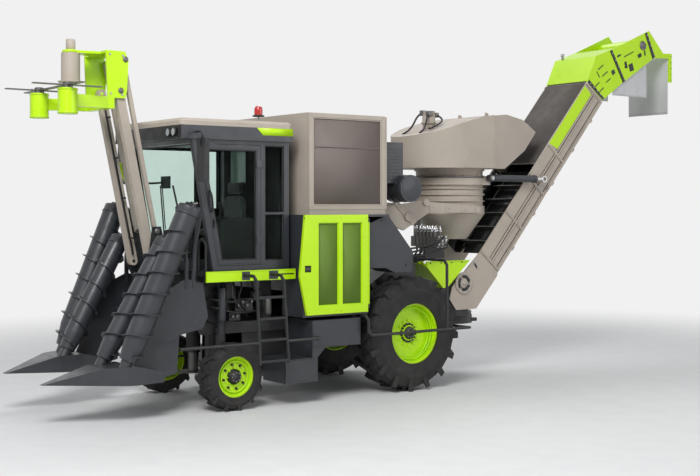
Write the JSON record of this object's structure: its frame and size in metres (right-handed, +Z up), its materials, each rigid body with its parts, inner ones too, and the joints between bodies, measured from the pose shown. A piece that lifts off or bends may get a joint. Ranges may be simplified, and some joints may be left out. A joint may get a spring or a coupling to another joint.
{
  "type": "wheeled sugarcane chopper harvester",
  "caption": "Self-propelled cane harvester on wheels: scroll crop dividers, raised topper, glazed cab, extractor with turning hood and a slewing rear elevator.",
  "frame": {"origin": "on the ground, in the middle of the length and width of the machine", "axes": "+Z up, the machine drives towards -Y, its left side is +X"},
  "size_m": [2.5, 11.26, 5.4078],
  "materials": {
    "lime": "gloss",
    "beige": "satin",
    "slate": "satin",
    "frame_black": "satin",
    "steel": "worn",
    "rod": "polished",
    "tyre": "matt",
    "glass": "clear",
    "lamp": "clear",
    "seat": "woven",
    "trim": "matt",
    "flap": "matt"
  },
  "bodies": {
    "chassis": {"main_frame": "frame_black", "feed_box": "frame_black", "rear_axle": "frame_black", "engine_block": "frame_black", "engine_housing": "slate", "side_tanks": "slate", "cooling_box": "beige", "cab_shell": "slate", "cab_roof": "beige", "cab_glass": "glass", "cab_seat": "seat", "cab_controls": "trim", "cab_sill": "lime", "ladder_and_rails": "frame_black", "extractor_cone": "beige", "extractor_frame": "beige", "valve_bank": "steel", "air_cleaner": "slate", "slew_base": "frame_black", "lamps": "lamp"},
    "knockdown_roller": {"knockdown_roller": "frame_black"},
    "cab_door": {"cab_door": "slate", "cab_door_glass": "glass"},
    "engine_door": {"engine_door": "lime"},
    "cooling_door": {"cooling_door": "beige"},
    "extractor_hood": {"extractor_hood": "beige"},
    "extractor_fan": {"extractor_fan": "steel"},
    "slew": {"slew_table": "frame_black", "slew_ring": "beige", "elevator_bowl": "lime"},
    "elevator": {"elevator_boom": "beige", "elevator_head": "lime", "elevator_chain": "steel", "elevator_curtain": "flap"},
    "lift_barrels": {"lift_barrels": "slate"},
    "lift_rods": {"lift_rods": "rod"},
    "topper_arms": {"topper_arms": "beige"},
    "topper_ties": {"topper_ties": "beige"},
    "topper_head": {"topper_head": "lime"},
    "shredder_drum": {"shredder_drum": "beige"},
    "knuckle_left": {"knuckle_left": "frame_black"},
    "wheel_front_left": {"front_rim_left": "lime", "front_tyre_left": "tyre"},
    "wheel_rear_left": {"rear_rim_left": "lime", "rear_tyre_left": "tyre"},
    "divider_left": {"divider_left": "slate"},
    "scroll_outer_left": {"scroll_outer_left": "slate"},
    "scroll_inner_left": {"scroll_inner_left": "slate"},
    "base_cutter_left": {"base_cutter_left": "steel"},
    "gather_blades_left": {"gather_blades_left": "steel"},
    "knuckle_right": {"knuckle_right": "frame_black"},
    "wheel_front_right": {"front_rim_right": "lime", "front_tyre_right": "tyre"},
    "wheel_rear_right": {"rear_rim_right": "lime", "rear_tyre_right": "tyre"},
    "divider_right": {"divider_right": "slate"},
    "scroll_outer_right": {"scroll_outer_right": "slate"},
    "scroll_inner_right": {"scroll_inner_right": "slate"},
    "base_cutter_right": {"base_cutter_right": "steel"},
    "gather_blades_right": {"gather_blades_right": "steel"}
  },
  "joints": [
    {"name": "steer_left", "type": "hinge", "parent": "chassis", "child": "knuckle_left", "pos_m": [0.66, -3.3, 0.416], "axis": [0, 0, 1], "range_deg": [-25, 25]},
    {"name": "wheel_front_left_spin", "type": "hinge", "parent": "knuckle_left", "child": "wheel_front_left", "pos_m": [0.88, -3.3, 0.416], "axis": [1, 0, 0], "continuous": true},
    {"name": "wheel_rear_left_spin", "type": "hinge", "parent": "chassis", "child": "wheel_rear_left", "pos_m": [0.895, -0.57, 0.775], "axis": [1, 0, 0], "continuous": true},
    {"name": "divider_left_lift", "type": "hinge", "parent": "chassis", "child": "divider_left", "pos_m": [0.625, -3.65, 1.15], "axis": [1, 0, 0], "range_deg": [-5, 8]},
    {"name": "scroll_outer_left_spin", "type": "hinge", "parent": "divider_left", "child": "scroll_outer_left", "pos_m": [0.92, -4.69, 0.71], "axis": [0.0494, 0.3954, 0.9172], "continuous": true},
    {"name": "scroll_inner_left_spin", "type": "hinge", "parent": "divider_left", "child": "scroll_inner_left", "pos_m": [0.542, -4.809, 0.712], "axis": [0.0532, 0.4865, 0.872], "continuous": true},
    {"name": "gather_blades_left_spin", "type": "hinge", "parent": "topper_head", "child": "gather_blades_left", "pos_m": [0.43, -5.21, 3.86], "axis": [0, 0, 1], "continuous": true},
    {"name": "base_cutter_left_spin", "type": "hinge", "parent": "chassis", "child": "base_cutter_left", "pos_m": [0.25, -3.19, 0.33], "axis": [0, 0, 1], "continuous": true},
    {"name": "steer_right", "type": "hinge", "parent": "chassis", "child": "knuckle_right", "pos_m": [-0.66, -3.3, 0.416], "axis": [0, 0, 1], "range_deg": [-25, 25]},
    {"name": "wheel_front_right_spin", "type": "hinge", "parent": "knuckle_right", "child": "wheel_front_right", "pos_m": [-0.88, -3.3, 0.416], "axis": [1, 0, 0], "continuous": true},
    {"name": "wheel_rear_right_spin", "type": "hinge", "parent": "chassis", "child": "wheel_rear_right", "pos_m": [-0.895, -0.57, 0.775], "axis": [1, 0, 0], "continuous": true},
    {"name": "divider_right_lift", "type": "hinge", "parent": "chassis", "child": "divider_right", "pos_m": [-0.625, -3.65, 1.15], "axis": [1, 0, 0], "range_deg": [-5, 8]},
    {"name": "scroll_outer_right_spin", "type": "hinge", "parent": "divider_right", "child": "scroll_outer_right", "pos_m": [-0.92, -4.69, 0.71], "axis": [-0.0494, 0.3954, 0.9172], "continuous": true},
    {"name": "scroll_inner_right_spin", "type": "hinge", "parent": "divider_right", "child": "scroll_inner_right", "pos_m": [-0.542, -4.809, 0.712], "axis": [-0.0532, 0.4865, 0.872], "continuous": true},
    {"name": "gather_blades_right_spin", "type": "hinge", "parent": "topper_head", "child": "gather_blades_right", "pos_m": [-0.43, -5.21, 3.86], "axis": [0, 0, 1], "continuous": true},
    {"name": "base_cutter_right_spin", "type": "hinge", "parent": "chassis", "child": "base_cutter_right", "pos_m": [-0.25, -3.19, 0.33], "axis": [0, 0, 1], "continuous": true},
    {"name": "knockdown_roller_spin", "type": "hinge", "parent": "chassis", "child": "knockdown_roller", "pos_m": [0, -3.87, 1.1], "axis": [1, 0, 0], "continuous": true},
    {"name": "cab_door_hinge", "type": "hinge", "parent": "chassis", "child": "cab_door", "pos_m": [0.8643, -2.82, 2.1], "axis": [0, 0, 1], "range_deg": [0, 80]},
    {"name": "engine_door_hinge", "type": "hinge", "parent": "chassis", "child": "engine_door", "pos_m": [1.11, -1.348, 1.7], "axis": [0, 0, 1], "range_deg": [0, 100]},
    {"name": "cooling_door_hinge", "type": "hinge", "parent": "chassis", "child": "cooling_door", "pos_m": [0.985, -0.965, 3], "axis": [0, 0, 1], "range_deg": [0, 100]},
    {"name": "extractor_hood_turn", "type": "hinge", "parent": "chassis", "child": "extractor_hood", "pos_m": [0, 1.015, 3.04], "axis": [0, 0, 1], "range_deg": [-90, 90]},
    {"name": "extractor_fan_spin", "type": "hinge", "parent": "chassis", "child": "extractor_fan", "pos_m": [0, 1.015, 2.72], "axis": [0, 0, 1], "continuous": true},
    {"name": "elevator_slew", "type": "hinge", "parent": "chassis", "child": "slew", "pos_m": [0, 1.015, 0.9], "axis": [0, 0, 1], "range_deg": [-80, 80]},
    {"name": "elevator_lift", "type": "hinge", "parent": "slew", "child": "elevator", "pos_m": [0, 0.893, 1.364], "axis": [1, 0, 0], "range_deg": [-25, 3]},
    {"name": "lift_barrel_pivot", "type": "hinge", "parent": "slew", "child": "lift_barrels", "pos_m": [0, 1.33, 2.9], "axis": [1, 0, 0], "range_deg": [-28.63, 4.32]},
    {"name": "lift_rod_slide", "type": "slide", "parent": "lift_barrels", "child": "lift_rods", "axis": [0, 1, 0], "range_m": [-0.0928, 0.7002]},
    {"name": "topper_lift", "type": "hinge", "parent": "chassis", "child": "topper_arms", "pos_m": [0, -4.06, 1.8], "axis": [1, 0, 0], "range_deg": [0, 45]},
    {"name": "topper_tie_pivot", "type": "hinge", "parent": "chassis", "child": "topper_ties", "pos_m": [0, -4, 2.18], "axis": [1, 0, 0], "range_deg": [0, 45]},
    {"name": "topper_level", "type": "hinge", "parent": "topper_arms", "child": "topper_head", "pos_m": [0, -4.49, 3.88], "axis": [1, 0, 0], "range_deg": [-45, 0]},
    {"name": "shredder_spin", "type": "hinge", "parent": "topper_head", "child": "shredder_drum", "pos_m": [0, -4.99, 3.975], "axis": [0, 0, 1], "continuous": true}
  ],
  "couplings": [
    {"joint": "steer_right", "follows": "steer_left", "ratio": 1},
    {"joint": "base_cutter_right_spin", "follows": "base_cutter_left_spin", "ratio": -1},
    {"joint": "lift_barrel_pivot", "follows": "elevator_lift", "ratio": 1.1052},
    {"joint": "lift_rod_slide", "follows": "elevator_lift", "m_per_rad": -1.5819},
    {"joint": "topper_tie_pivot", "follows": "topper_lift", "ratio": 1},
    {"joint": "topper_level", "follows": "topper_lift", "ratio": -1}
  ]
}
